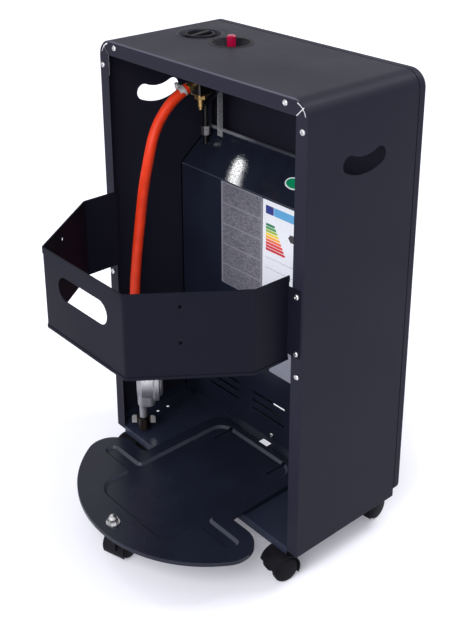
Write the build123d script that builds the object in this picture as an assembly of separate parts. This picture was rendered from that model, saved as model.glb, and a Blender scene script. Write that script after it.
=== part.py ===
"""Portable gas cabinet heater, rear doors off, with bottle tray, retaining band, hose and regulator.

Millimetres, +Z up, burner front towards -Y, open bottle bay towards +Y. The pieces are drawn in
cabinet coordinates: x = 0 on the centre line, y = 0 in the middle of the shell's depth and z = 0 at
the lower edge of its side panels. write_node moves them so that the origin is on the floor, under
the middle of the whole heater.
"""
from build123d import *

import math
import os

# Cabinet shell
WIDTH = 420.0
SHELL_HEIGHT = 651.0
SHELL_HALF_DEPTH = 100.0
CORNER_RADIUS = 25.0
SHEET = 1.0
REAR_FLANGE = 19.6
TOP_FLANGE = 21.5
FRONT_FLANGE = 12.0

# Front frame
FRAME_DEPTH = 15.0
SEAM = 1.5
FRAME_BOTTOM = 8.0
FRAME_EDGE_RADIUS = 7.0
RADIANT_OPENING = (316.0, 276.0)
RADIANT_CENTRE_Z = 330.0
LOUVRE_OPENING = (340.0, 128.0)
LOUVRE_CENTRE_Z = 92.0
LOUVRE_FIRST_SLOT_Z = 39.5
FOOT_NOTCH = (130.0, 13.0)
FOOT_NOTCH_Z = 14.5
LOUVRE_PITCH = 15.0

# Side grips
GRIP_RADIUS = 62.0
GRIP_ARC = 52.0
GRIP_HEIGHT = 24.0
GRIP_LOW_Z = 550.0
GRIP_Y = -2.0

# Back plate of the combustion chamber
PLATE_Y = -43.0
PLATE_BOTTOM = 20.0
CREASE_Z = 427.0
HOOD_TOP_Z = 472.0
VENT_ROWS = (56.5, 71.5, 86.5)
VENT_COLUMNS = (-105.0, 0.0, 105.0)
VENT_SLOT = (74.0, 4.0)

# Base
FLOOR_TOP = 6.0
BASE_LIP_BOTTOM = -7.0
BASE_LIP_TOP = 19.0
BASE_FRONT_LIP_TOP = 14.0
WINDOW = (18.5, 12.5)
WINDOW_AT = (6.0, -41.7)
FLOOR_HOLES_Y = (12.0, 33.0)

# Bottle tray
TRAY_TOP = 15.0
TRAY_SHEET = 1.5
TRAY_DISC_RADIUS = 198.0
TRAY_DISC_Y = 80.5
TRAY_LOBE_Y = 125.0
TRAY_NECK_HALF = 103.0
TRAY_NECK_END = -28.0
TRAY_RIM = 6.0
PAN_DEPTH = 4.0
PAN_HALF = 84.0
PAN_Y = (-20.0, 229.0)
PAN_ARM_HALF = 150.5
PAN_ARM_Y = (147.5, 170.5)
TRAY_BOLT_Y = 257.0

# Retaining band
BAND_HALF = 185.0
BAND_BACK_HALF = 90.0
BAND_CORNER_Y = 157.0
BAND_BACK_Y = 286.0
BAND_Z = (302.5, 422.0)
BAND_SHEET = 1.2
HEM = 1.0
HAND_SLOT = (110.0, 34.0)
HAND_SLOT_Z = 378.0

# Controls on the top
KNOB_X = 132.0
IGNITER_X = 63.0
CONTROL_Y = -22.0
DISH_FLOOR_Z = 639.0
BEZEL_RISE = 0.4
KNOB_RADIUS = 22.0
KNOB_BAR_ANGLE = 100.0
KNOB_TRAVEL = 4.0
BUTTON_RADIUS = 6.4
BUTTON_TRAVEL = 6.0

# Burner
PLAQUE = (93.0, 13.0, 133.0)
PLAQUE_PITCH = 94.0
PLAQUE_COUNT = 3
BURNER_FRONT_Y = -88.0
BURNER_BACK_Y = -58.0
PILOT_X = 58.0

# Gas line
PIPE_ROUTE = [(132, -30, 566), (132, -54, 566), (158, -76, 549), (190, -79, 520), (190, -79, 252)]
PIPE_RADIUS = 4.0
HOSE_RADIUS = 8.0
HOSE_ROUTE = [
    (136, 0, 573),
    (143, 24, 561),
    (146, 46, 541),
    (144, 64, 516),
    (141, 74, 482),
    (150, 78, 434),
    (165, 76, 372),
    (178, 75, 312),
    (177, 82, 251),
    (175, 83, 194),
    (164, 84, 152),
    (159, 84, 127),
]
REGULATOR = (159.0, 84.0, 99.0)
REGULATOR_FACING = (-0.6, -0.8, 0.0)
THREAD_RADIUS = 6.5

# Castors: pivot x, pivot y and the heading of the wheels behind the pivot, in degrees from +X
CASTORS = {
    "rear_right": (-180.0, 81.0, 80.0),
    "rear_left": (180.0, 81.0, 100.0),
    "front_right": (-173.0, -74.5, 276.0),
    "front_left": (173.0, -74.5, 262.0),
    "tray": (0.0, TRAY_BOLT_Y, 287.0),
}
GROUND_Z = -50.0
WHEEL_RADIUS = 19.0
WHEEL_WIDTH = 10.5
CASTOR_CORE = 15.0
CASTOR_TRAIL = 18.0
STEM_RADIUS = 4.0
AXLE_RADIUS = 2.5
RUNNING_FIT = 0.05

FRONT_Y = -SHELL_HALF_DEPTH - SEAM - FRAME_DEPTH
REAR_Y = BAND_BACK_Y + HEM
ORIGIN_SHIFT = Pos(0, -(FRONT_Y + REAR_Y) / 2, -GROUND_Z)


# --- helpers -------------------------------------------------------------------------------------
def along_x(sketch, x0, x1):
    """Prism of a (y, z) sketch between two x planes."""
    return extrude(Plane.YZ.offset(x0) * sketch, amount=x1 - x0)


def along_y(sketch, y0, y1):
    """Prism of an (x, z) sketch between two y planes."""
    return extrude(Plane.XZ.offset(-y1) * sketch, amount=y1 - y0)


def along_z(sketch, z0, z1):
    """Prism of an (x, y) sketch between two z planes."""
    return extrude(Plane.XY.offset(z0) * sketch, amount=z1 - z0)


def block(x0, x1, y0, y1, z0, z1):
    """Box given by its limits."""
    size = Box(x1 - x0, y1 - y0, z1 - z0)
    return Pos((x0 + x1) / 2, (y0 + y1) / 2, (z0 + z1) / 2) * size


def turned(profile):
    """Solid of revolution about Z from (radius, z) corners."""
    return revolve(Plane.XZ * Polygon(*profile, align=None), Axis.Z)


def rod(x, y, z0, z1, radius):
    """Upright cylinder."""
    return along_z(Pos(x, y) * Circle(radius), z0, z1)


def near(vertices, x, y, tolerance=12.0):
    """The vertices of a sketch that lie close to (x, y) on either side of the centre line."""
    return [v for v in vertices if math.hypot(abs(v.X) - abs(x), v.Y - y) < tolerance]


def write_node(name, shape):
    shape = ORIGIN_SHIFT * shape
    shape.label = name
    export_step(shape, os.path.join("parts", name + ".step"))


# --- cabinet -------------------------------------------------------------------------------------
def arch(inset, bottom):
    """Cabinet outline seen along Y: two rounded top corners and an open foot."""
    half = WIDTH / 2 - inset
    top = SHELL_HEIGHT - inset
    outline = Pos(0, (bottom + top) / 2) * Rectangle(2 * half, top - bottom)
    return fillet(outline.vertices().group_by(Axis.Y)[-1], CORNER_RADIUS - inset)


def grip_slot():
    """Kidney-shaped hand hole, drawn in (y, z) with its ends turned up."""
    bottom_of_arc = CenterArc(
        (GRIP_Y, GRIP_LOW_Z + GRIP_RADIUS), GRIP_RADIUS, 270 - GRIP_ARC / 2, GRIP_ARC
    )
    return SlotArc(bottom_of_arc, GRIP_HEIGHT)


def corner_relief(side):
    """Mitre slit and crescent cut where the rear flange turns the top corner."""
    corner = (WIDTH / 2 - CORNER_RADIUS, SHELL_HEIGHT - CORNER_RADIUS)
    slit = Pos(WIDTH / 2 - 14, SHELL_HEIGHT - 15) * Rot(0, 0, 45) * Rectangle(22, 1.4)
    crescent = SlotArc(CenterArc(corner, 21.0, 18, 54), 2.2)
    cut = slit + crescent
    return cut if side > 0 else mirror(cut, Plane.YZ)


def cabinet_shell():
    depth = SHELL_HALF_DEPTH
    shell = along_y(arch(0, 0), -depth, depth)
    shell -= along_y(arch(SHEET, -1), -depth + SHEET, depth - SHEET)
    rear_half = WIDTH / 2 - REAR_FLANGE
    rear_top = SHELL_HEIGHT - TOP_FLANGE
    shell -= block(-rear_half, rear_half, depth - 2 * SHEET, depth + 1, -1, rear_top)
    front_half = WIDTH / 2 - FRONT_FLANGE
    front_top = SHELL_HEIGHT - FRONT_FLANGE
    shell -= block(-front_half, front_half, -depth - 1, -depth + 2 * SHEET, -1, front_top)
    shell -= along_x(grip_slot(), -WIDTH / 2 - 1, WIDTH / 2 + 1)
    for side in (-1, 1):
        shell -= along_y(corner_relief(side), depth - SHEET, depth)
    for x, radius in ((KNOB_X, 33.0), (IGNITER_X, 30.0)):
        shell -= rod(x, CONTROL_Y, SHELL_HEIGHT - 2, SHELL_HEIGHT + 1, radius)
    return shell


def corner_gusset(side):
    """Zinc plate behind the flange at one top rear corner, seen through the mitre slit."""
    plate = arch(SHEET, 590) & Pos(side * 185, 625) * Rectangle(50, 52)
    opening_x = WIDTH / 2 - REAR_FLANGE + 0.5
    opening_z = SHELL_HEIGHT - TOP_FLANGE + 0.5
    plate -= Pos(side * (opening_x - 50), opening_z - 50) * Rectangle(100, 100)
    return along_y(plate, SHELL_HALF_DEPTH - 2.2, SHELL_HALF_DEPTH - SHEET)


def frame_outline(inset):
    half = WIDTH / 2 - inset
    bottom = FRAME_BOTTOM + inset
    top = SHELL_HEIGHT - inset
    outline = Pos(0, (bottom + top) / 2) * Rectangle(2 * half, top - bottom)
    outline = fillet(outline.vertices().group_by(Axis.Y)[-1], CORNER_RADIUS - inset)
    return fillet(outline.vertices().group_by(Axis.Y)[0], 8 - inset)


def front_frame():
    """Pressed front with a shadow gap at the seam, the radiant and louvre openings and an air notch."""
    seam_y = -SHELL_HALF_DEPTH - SEAM
    face = along_y(frame_outline(0), FRONT_Y, seam_y)
    face = fillet(face.edges().group_by(Axis.Y)[0], FRAME_EDGE_RADIUS)
    hollow = along_y(frame_outline(SHEET), FRONT_Y + SHEET, seam_y - SHEET)
    hollow = fillet(hollow.edges().group_by(Axis.Y)[0], FRAME_EDGE_RADIUS - SHEET)
    face += along_y(frame_outline(SEAM), seam_y - SHEET, -SHELL_HALF_DEPTH)
    face -= hollow
    face -= along_y(frame_outline(SEAM + SHEET), seam_y - 3, -SHELL_HALF_DEPTH + 1)
    radiant = Pos(0, RADIANT_CENTRE_Z) * RectangleRounded(*RADIANT_OPENING, 12)
    louvre = Pos(0, LOUVRE_CENTRE_Z) * RectangleRounded(*LOUVRE_OPENING, 8)
    face -= along_y(radiant + louvre, FRONT_Y - 1, FRONT_Y + 3)
    notch = Pos(0, FOOT_NOTCH_Z) * RectangleRounded(*FOOT_NOTCH, 4)
    return face - along_y(notch, FRONT_Y - 1, FRONT_Y + 3)


def front_louvre_panel():
    """Lower front panel with three columns of air slots."""
    width, height = LOUVRE_OPENING
    panel = Pos(0, LOUVRE_CENTRE_Z) * RectangleRounded(width + 12, height + 12, 10)
    for x in VENT_COLUMNS:
        for row in range(8):
            panel -= Pos(x, LOUVRE_FIRST_SLOT_Z + row * LOUVRE_PITCH) * SlotOverall(80, 5)
    return along_y(panel, FRONT_Y + SHEET, FRONT_Y + 2 * SHEET)


def back_plate():
    """Glossy rear wall of the combustion chamber, its sloping hood and the rolled top lip."""
    half = WIDTH / 2 - SHEET
    front = -SHELL_HALF_DEPTH + SHEET
    outer = [
        (PLATE_Y - 9, PLATE_BOTTOM),
        (PLATE_Y, PLATE_BOTTOM),
        (PLATE_Y, CREASE_Z),
        (front + 1.2, HOOD_TOP_Z),
        (front + 1.2, HOOD_TOP_Z + 8),
    ]
    line = Polyline(*outer)
    section = trace(line, 1.6)
    roll = Pos(front + 3, HOOD_TOP_Z + 7) * Circle(3)
    plate = along_x(section + roll, -half, half)
    plate -= block(-half - 1, half + 1, -130, front, 400, 520)
    for x in VENT_COLUMNS:
        for z in VENT_ROWS:
            plate -= along_y(Pos(x, z) * SlotOverall(*VENT_SLOT), PLATE_Y - 3, PLATE_Y + 3)
    plate -= rod(PIPE_ROUTE[-1][0], PIPE_ROUTE[-1][1], CREASE_Z, HOOD_TOP_Z, PIPE_RADIUS + 1)
    for side in (-1, 1):
        foot_x = side * 197
        plate += block(foot_x - 10, foot_x + 10, PLATE_Y - 0.8, PLATE_Y + 0.8, FLOOR_TOP, PLATE_BOTTOM + 1)
    return plate


def base_plate():
    """Floor of the cabinet with upturned side lips and a downturned rear lip."""
    half = WIDTH / 2 - SHEET
    depth = SHELL_HALF_DEPTH - SHEET
    rear_half = WIDTH / 2 - REAR_FLANGE - 0.5
    floor_z = FLOOR_TOP - SHEET
    base = block(-half, half, -depth, depth, floor_z, FLOOR_TOP)
    base += block(-rear_half, rear_half, depth - SHEET, depth + SHEET, floor_z, FLOOR_TOP)
    base += block(-rear_half, rear_half, depth, depth + SHEET, BASE_LIP_BOTTOM, FLOOR_TOP)
    base += block(-half, half, -depth, -depth + SHEET, floor_z, BASE_FRONT_LIP_TOP)
    for side in (-1, 1):
        inner = side * (half - SHEET)
        outer = side * half
        base += block(min(inner, outer), max(inner, outer), -depth, depth - 2, floor_z, BASE_LIP_TOP)
        for y in FLOOR_HOLES_Y:
            base -= rod(side * 189, y, floor_z - 1, FLOOR_TOP + 1, 2.5)
    base -= along_z(Pos(*WINDOW_AT) * Rectangle(*WINDOW), floor_z - 1, FLOOR_TOP + 1)
    return base


# --- bottle tray and retaining band --------------------------------------------------------------
def tray_outline(inset=0.0):
    disc = Pos(0, TRAY_DISC_Y) * Circle(TRAY_DISC_RADIUS)
    disc -= Pos(0, TRAY_LOBE_Y - 200) * Rectangle(500, 400)
    corner_x = math.sqrt(TRAY_DISC_RADIUS**2 - (TRAY_LOBE_Y - TRAY_DISC_Y) ** 2)
    disc = fillet(near(disc.vertices(), corner_x, TRAY_LOBE_Y), 38)
    neck_length = TRAY_LOBE_Y + 10 - TRAY_NECK_END
    neck = Pos(0, TRAY_NECK_END + neck_length / 2) * Rectangle(2 * TRAY_NECK_HALF, neck_length)
    outline = disc + neck
    outline = fillet(near(outline.vertices(), TRAY_NECK_HALF, TRAY_LOBE_Y), 8)
    outline = fillet(near(outline.vertices(), TRAY_NECK_HALF, TRAY_NECK_END), 20)
    return offset(outline, -inset) if inset else outline


def pan_outline():
    """Cross-shaped recess: the long pan and its two arms into the lobes."""
    middle_y = (PAN_Y[0] + PAN_Y[1]) / 2
    pan = Pos(0, middle_y) * Rectangle(2 * PAN_HALF, PAN_Y[1] - PAN_Y[0])
    arm_y = (PAN_ARM_Y[0] + PAN_ARM_Y[1]) / 2
    pan += Pos(0, arm_y) * Rectangle(2 * PAN_ARM_HALF, PAN_ARM_Y[1] - PAN_ARM_Y[0])
    pan = fillet(near(pan.vertices(), PAN_HALF, PAN_Y[0]), 25)
    pan = fillet(near(pan.vertices(), PAN_HALF, PAN_Y[1]), 30)
    pan = fillet(near(pan.vertices(), PAN_ARM_HALF, arm_y, 14), 10)
    return fillet(near(pan.vertices(), PAN_HALF, arm_y, 14), 6)


def bottle_tray():
    """Pressed tray: turned-down rim, cross-shaped recess, guide slots and a neck into the cabinet."""
    under = TRAY_TOP - TRAY_SHEET
    tray = along_z(tray_outline(), TRAY_TOP - TRAY_RIM, TRAY_TOP)
    tray -= along_z(tray_outline(TRAY_SHEET), TRAY_TOP - TRAY_RIM - 1, under)
    neck_end = SHELL_HALF_DEPTH - 2 * SHEET
    neck_y = (TRAY_NECK_END + neck_end) / 2
    strip = Pos(0, neck_y) * Rectangle(2 * TRAY_NECK_HALF, neck_end - TRAY_NECK_END)
    lip = (tray_outline() - tray_outline(TRAY_SHEET)) & strip
    tray += along_z(lip, FLOOR_TOP, under)
    recess = pan_outline()
    surface = Plane.XY.offset(TRAY_TOP)
    tray += extrude(surface * offset(recess, TRAY_SHEET), amount=-PAN_DEPTH - TRAY_SHEET, taper=45)
    tray -= extrude(surface * recess, amount=-PAN_DEPTH, taper=45)
    for side in (-1, 1):
        slot = Pos(side * 61, -3) * Rot(0, 0, 90) * SlotOverall(38, 7)
        tray -= along_z(slot, FLOOR_TOP, TRAY_TOP)
    return tray


def band_plan(grow):
    """Half-octagon plan of the band's outer face, open towards the cabinet."""
    corners = [
        (BAND_HALF, SHELL_HALF_DEPTH - 20),
        (BAND_HALF, BAND_CORNER_Y),
        (BAND_BACK_HALF, BAND_BACK_Y),
        (-BAND_BACK_HALF, BAND_BACK_Y),
        (-BAND_HALF, BAND_CORNER_Y),
        (-BAND_HALF, SHELL_HALF_DEPTH - 20),
    ]
    plan = Polygon(*corners, align=None)
    plan = fillet(plan.vertices().filter_by(lambda v: v.Y > SHELL_HALF_DEPTH), 6)
    return offset(plan, grow) if grow else plan


def band_strip(z0, z1, grow):
    strip = along_z(band_plan(grow), z0, z1)
    strip -= along_z(band_plan(-BAND_SHEET), z0 - 1, z1 + 1)
    return strip - block(-300, 300, 0, SHELL_HALF_DEPTH, z0 - 1, z1 + 1)


def retaining_band():
    """Bottle band: bent strip with hemmed edges, a hand slot and a leaf on each rear flange."""
    bottom, top = BAND_Z
    band = band_strip(bottom, top, 0)
    band += band_strip(top - 8.5, top, HEM)
    band += band_strip(bottom, bottom + 4, HEM)
    slot = Pos(0, HAND_SLOT_Z) * SlotOverall(*HAND_SLOT)
    band -= along_y(slot, BAND_BACK_Y - 8, BAND_BACK_Y + 8)
    for side in (-1, 1):
        inner = side * (BAND_HALF - BAND_SHEET)
        outer = side * (WIDTH / 2 - 4)
        band += block(min(inner, outer), max(inner, outer), SHELL_HALF_DEPTH,
                      SHELL_HALF_DEPTH + BAND_SHEET, 311.5, 407.5)
        for z in (402.5, 352.5):
            slant = math.degrees(math.atan2(BAND_HALF - BAND_BACK_HALF, BAND_BACK_Y - BAND_CORNER_Y))
            hole = Rot(0, 0, side * -(90 - slant)) * Rot(90, 0, 0) * Cylinder(2.5, 12)
            band -= Pos(side * 130.7, 230.6, z) * hole
    return band


# --- controls ------------------------------------------------------------------------------------
def knob_bezel():
    """Dished plate that the control knob sits in."""
    top = SHELL_HEIGHT
    profile = [
        (5.2, DISH_FLOOR_Z), (25.5, DISH_FLOOR_Z), (32.0, top - 1), (32.0, top), (35.0, top),
        (35.0, top + BEZEL_RISE), (31.5, top + BEZEL_RISE), (24.5, DISH_FLOOR_Z + 1.2),
        (5.2, DISH_FLOOR_Z + 1.2),
    ]
    return Pos(KNOB_X, CONTROL_Y) * turned(profile)


def igniter_well():
    """Finger dish round the igniter button."""
    top = SHELL_HEIGHT
    floor_z = DISH_FLOOR_Z + 1
    profile = [
        (BUTTON_RADIUS + 0.3, floor_z), (18.0, floor_z), (29.0, top - 1), (29.0, top), (32.5, top),
        (32.5, top + BEZEL_RISE), (28.0, top + BEZEL_RISE), (17.0, floor_z + 1.2),
        (BUTTON_RADIUS + 0.3, floor_z + 1.2),
    ]
    return Pos(IGNITER_X, CONTROL_Y) * turned(profile)


def control_knob():
    """Low dial: rim, sunk ring and a grip bar across it."""
    bottom = DISH_FLOOR_Z + 1.2 + KNOB_TRAVEL + 0.8
    top = bottom + 7.5
    dial = turned([
        (0, bottom), (KNOB_RADIUS - 0.8, bottom), (KNOB_RADIUS, bottom + 1), (KNOB_RADIUS, top - 1.5),
        (KNOB_RADIUS - 1.5, top), (KNOB_RADIUS - 3.5, top), (KNOB_RADIUS - 4.5, top - 4.5), (0, top - 4.5),
    ])
    bar = along_z(Rectangle(2 * KNOB_RADIUS - 6, 8), top - 5, top)
    bar = fillet(bar.edges().filter_by(Axis.X).group_by(Axis.Z)[-1], 1.5)
    return Pos(KNOB_X, CONTROL_Y) * (dial + Rot(0, 0, KNOB_BAR_ANGLE) * bar)


def valve_spindle():
    """Spindle from the knob's underside into the valve."""
    bottom = DISH_FLOOR_Z + 1.2 + KNOB_TRAVEL + 0.8
    return rod(KNOB_X, CONTROL_Y, 592, bottom, STEM_RADIUS)


def spindle_collar():
    """Spring collar on the spindle, under the top panel: it follows the push but not the turn."""
    inner = STEM_RADIUS + RUNNING_FIT
    return Pos(KNOB_X, CONTROL_Y) * turned([(inner, 628), (9, 628), (9, 631), (6.5, 634), (inner, 634)])


def valve_body():
    """Cast cock with its bonnet and outlet boss, and the flame-failure magnet screwed in below."""
    body = block(KNOB_X - 11, KNOB_X + 11, CONTROL_Y - 11, CONTROL_Y + 11, 560, 600)
    body = fillet(body.edges().filter_by(Axis.Z), 3)
    outlet_x, outlet_y, outlet_z = PIPE_ROUTE[0]
    boss = turned([(0, -6), (6.5, -6), (6.5, 9), (0, 9)])
    body += Pos(outlet_x, outlet_y, outlet_z) * Rot(90, 0, 0) * boss
    bonnet = turned([(0, 600), (13, 600), (13, 608), (9, 610), (9, 620), (0, 620)])
    body += Pos(KNOB_X, CONTROL_Y) * bonnet
    body += Pos(KNOB_X, CONTROL_Y) * along_z(RegularPolygon(9.5, 6), 553.5, 560)
    body += Pos(KNOB_X, CONTROL_Y) * turned([
        (0, 554), (4.5, 554), (4.5, 542), (3, 541), (3, 537), (0, 537),
    ])
    body -= rod(KNOB_X, CONTROL_Y, 584, 621, STEM_RADIUS + RUNNING_FIT)
    return body


def hose_end_plane(index, step):
    """Plane at one end of the hose route, looking from the fitting into the hose."""
    origin = Vector(*HOSE_ROUTE[index])
    inward = Vector(*HOSE_ROUTE[index + step]) - origin
    return Plane(origin=origin, z_dir=inward)


def hose_tail():
    """Brass hose tail screwed into the valve: hexagon, shoulder and barbs inside the hose."""
    barbs = [(0, -17), (5, -17), (5, -2), (6.5, -2), (6.5, 0), (4.8, 0)]
    for ring in range(3):
        z = 2.0 + ring * 6
        barbs += [(4.4, z), (5.0, z + 0.5), (4.2, z + 5)]
    barbs += [(4.2, 21), (0, 21)]
    tail = turned(barbs)
    tail += along_z(RegularPolygon(8, 6), -7, -2)
    tail = hose_end_plane(0, 1) * tail
    return tail - valve_body()


def hose_clamp(index, step):
    """Worm clamp: flat strip round the hose with its screw housing."""
    ring = turned([
        (HOSE_RADIUS - 0.1, 5), (HOSE_RADIUS + 0.9, 5), (HOSE_RADIUS + 0.9, 14), (HOSE_RADIUS - 0.1, 14),
    ])
    housing = Pos(0, HOSE_RADIUS + 3.2, 9.5) * Box(13, 5, 8)
    housing = fillet(housing.edges().filter_by(Axis.X), 1.5)
    screw = Pos(8.5, HOSE_RADIUS + 3.2, 9.5) * Rot(0, 90, 0) * Cylinder(3, 4)
    return hose_end_plane(index, step) * (ring + housing + screw)


def gas_hose():
    """Rubber hose hanging from the valve to the regulator: straight runs with tangent arcs."""
    radii = []
    for before, here, after in zip(HOSE_ROUTE, HOSE_ROUTE[1:], HOSE_ROUTE[2:]):
        first = Vector(*here) - Vector(*before)
        second = Vector(*after) - Vector(*here)
        half_turn = math.radians(first.get_angle(second)) / 2
        radii.append(0.45 * min(first.length, second.length) / math.tan(half_turn))
    path = FilletPolyline(*HOSE_ROUTE, radius=radii)
    tube = sweep(hose_end_plane(0, 1) * Circle(HOSE_RADIUS), path=path)
    print("hose radii", [round(radius) for radius in radii], "length", round(path.length, 1))
    print("hose volume", round(tube.volume), "section x length", round(math.pi * HOSE_RADIUS**2 * path.length))
    return tube


def regulator_frame():
    """Frame on the regulator's centre with Z along its diaphragm axis."""
    return Plane(origin=REGULATOR, x_dir=(0, 0, 1), z_dir=REGULATOR_FACING)


def regulator_body():
    """Cast body: upright spine with the hose tail above, the nut spigot below and the round bowl."""
    x, y, z = REGULATOR
    spine = Pos(x, y) * turned([
        (0, 22), (5.9, 22), (5.9, 25), (4.5, 25), (4.5, 33), (6.2, 34), (6.2, 58), (9, 74), (9, 112),
        (7, 118), (0, 118),
    ])
    facing = math.degrees(math.atan2(REGULATOR_FACING[1], REGULATOR_FACING[0]))
    chamber = along_z(RectangleRounded(29, 27, 11), 56, z)
    chamber = fillet(chamber.edges().group_by(Axis.Z)[0], 6)
    chamber = Pos(x, y) * Rot(0, 0, facing) * Pos(6, 0) * chamber
    bowl = turned([
        (0, -9), (15, -9), (22, -6.5), (26, -1), (27, 10), (27, 17), (31.5, 19), (31.5, 22.5), (0, 22.5),
    ])
    body = spine + chamber + regulator_frame() * bowl
    tail = turned([
        (0, -14), (7, -14), (7, 0), (4.8, 0), (4.4, 3), (5, 3.5), (4.2, 9), (5, 9.5), (4.2, 15), (4.2, 20),
        (0, 20),
    ])
    return body + hose_end_plane(-1, -1) * tail


def regulator_bonnet():
    """Bonnet over the diaphragm, crimped to the body's flange."""
    bonnet = turned([(0, 22.5), (31.5, 22.5), (31.5, 26), (25, 27), (24, 30), (21, 32.5), (0, 32.5)])
    return regulator_frame() * bonnet


def union_nut():
    """Hexagon union nut with two finger wings, turning on the spigot."""
    x, y, z = REGULATOR
    nut = along_z(RegularPolygon(8.2, 6, major_radius=False), 12, 32.7)
    wings = along_z(Rectangle(38, 2.5), 22, 36)
    wings = fillet(wings.edges().filter_by(Axis.Y).group_by(Axis.Z)[-1], 4)
    nut += wings
    nut -= rod(0, 0, 32.7, 40, 8)
    nut -= rod(0, 0, 11, 22, THREAD_RADIUS)
    nut -= rod(0, 0, 21, 25.2, THREAD_RADIUS - 0.3)
    nut -= rod(0, 0, 20, 40, 4.5 + RUNNING_FIT)
    return Pos(x, y) * Rot(0, 0, 48) * nut


def feed_pipe():
    """Pipe from the valve's outlet, bent aside and down through the hood, with its hexagon joint."""
    path = FilletPolyline(*PIPE_ROUTE, radius=12)
    start = Plane(origin=PIPE_ROUTE[0], z_dir=(0, -1, 0))
    pipe = sweep(start * Circle(PIPE_RADIUS), path=path)
    x, y, _ = PIPE_ROUTE[-1]
    joint = Pos(x, y) * along_z(RegularPolygon(7.5, 6), 470.5, 485)
    joint += rod(x, y, 485, 489, 5.2)
    return (pipe + joint) - valve_body()


def valve_strut():
    """Angle strip between the top panel and the hood, beside the valve."""
    x = 171.0
    y = -92.0
    strip = block(x - 6, x + 6, y - 1, y, 468.6, SHELL_HEIGHT - SHEET)
    strip += block(x - 6, x - 5, y - 1, y + 8, 484, SHELL_HEIGHT - SHEET)
    strip += block(x - 6, x + 6, y - 1, y + 12, SHELL_HEIGHT - 2 * SHEET, SHELL_HEIGHT - SHEET)
    return strip - back_plate()


def igniter_body():
    """Push igniter body hanging under its dish."""
    top = DISH_FLOOR_Z + 1
    bore = BUTTON_RADIUS + 0.3
    return Pos(IGNITER_X, CONTROL_Y) * turned([
        (0, 594), (4, 594), (4, 600), (10, 602), (10, 626), (12, 627), (12, top), (bore, top), (bore, 620),
        (0, 620),
    ])


def igniter_button():
    """Red push button with a domed top."""
    bottom = 620 + BUTTON_TRAVEL + 0.5
    radius = BUTTON_RADIUS
    shape = turned([(0, bottom), (radius, bottom), (radius, 660), (radius - 1, 661.2), (0, 661.6)])
    return Pos(IGNITER_X, CONTROL_Y) * shape


# --- burner --------------------------------------------------------------------------------------
def burner_body():
    """Sheet-metal burner box with the plaque bed in front and the mixing tube below."""
    centre_z = RADIANT_CENTRE_Z - 2
    span = PLAQUE_COUNT * PLAQUE_PITCH + 10
    box = along_y(Pos(0, centre_z) * RectangleRounded(span, PLAQUE[2] + 18, 6), BURNER_FRONT_Y, BURNER_BACK_Y)
    bed = Rectangle(PLAQUE_COUNT * PLAQUE_PITCH - (PLAQUE_PITCH - PLAQUE[0]), PLAQUE[2])
    box -= along_y(Pos(0, centre_z) * bed, BURNER_FRONT_Y - 1, BURNER_FRONT_Y + 1 + PLAQUE[1])
    plenum = offset(bed, -5)
    box -= along_y(Pos(0, centre_z) * plenum, BURNER_FRONT_Y, BURNER_BACK_Y - 1.5)
    tube_z = 236.0
    tube = Pos(18, -68, tube_z) * Rot(0, 90, 0) * Cylinder(12, 266)
    bell = turned([(0, -10), (12, -10), (16, 8), (13, 8), (10, -2), (0, -2)])
    bell = Pos(151, -68, tube_z) * Rot(0, 90, 0) * bell
    web = block(-60, 60, -74, -62, tube_z, centre_z - PLAQUE[2] / 2 - 5)
    return box + tube + bell + web


def ceramic_plaque(column):
    centre_z = RADIANT_CENTRE_Z - 2
    x = (column - (PLAQUE_COUNT - 1) / 2) * PLAQUE_PITCH
    y = BURNER_FRONT_Y + 1 + PLAQUE[1] / 2
    return Pos(x, y, centre_z) * Box(PLAQUE[0], PLAQUE[1], PLAQUE[2])


def reflector():
    """Polished flared surround from the burner to the radiant opening."""
    centre_z = RADIANT_CENTRE_Z - 2
    front_y = FRONT_Y + 6
    back_size = (PLAQUE_COUNT * PLAQUE_PITCH + 2, PLAQUE[2] + 10)
    front_size = (RADIANT_OPENING[0] - 4, RADIANT_OPENING[1] - 4)
    shapes = []
    for inset in (0.0, 1.0):
        front = Plane.XZ.offset(-front_y) * Pos(0, RADIANT_CENTRE_Z) * Rectangle(
            front_size[0] - 2 * inset, front_size[1] - 2 * inset)
        back = Plane.XZ.offset(-BURNER_FRONT_Y) * Pos(0, centre_z) * Rectangle(
            back_size[0] - 2 * inset, back_size[1] - 2 * inset)
        shapes.append(loft([front, back]))
    flare = shapes[0] - shapes[1]
    flare -= block(PILOT_X - 31, PILOT_X + 31, -106, -86, 226, 263)
    rim = Pos(0, RADIANT_CENTRE_Z) * (RectangleRounded(RADIANT_OPENING[0] + 8, RADIANT_OPENING[1] + 8, 4)
                                      - Rectangle(front_size[0] - 2, front_size[1] - 2))
    return flare + along_y(rim, front_y - 1, front_y)


def guard_grille():
    """Welded wire guard clipped behind the front frame's opening."""
    wire_y = FRONT_Y + SHEET + 1.9
    low = RADIANT_CENTRE_Z - RADIANT_OPENING[1] / 2 + 6
    high = RADIANT_CENTRE_Z + RADIANT_OPENING[1] / 2 - 6
    guard = None
    for z in (low, RADIANT_CENTRE_Z, high):
        bar = Pos(0, wire_y, z) * Rot(0, 90, 0) * Cylinder(1.6, RADIANT_OPENING[0] + 8)
        guard = bar if guard is None else guard + bar
    for column in range(15):
        x = (column - 7) * 20.0
        guard += rod(x, wire_y + 1.6, low - 2, high + 2, 1.2)
    for side in (-1, 1):
        x = side * (RADIANT_OPENING[0] / 2 + 4)
        tab = block(x - 4, x + 4, FRONT_Y + SHEET, FRONT_Y + SHEET + 1, low - 5, high + 5)
        guard += tab
    return guard


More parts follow.
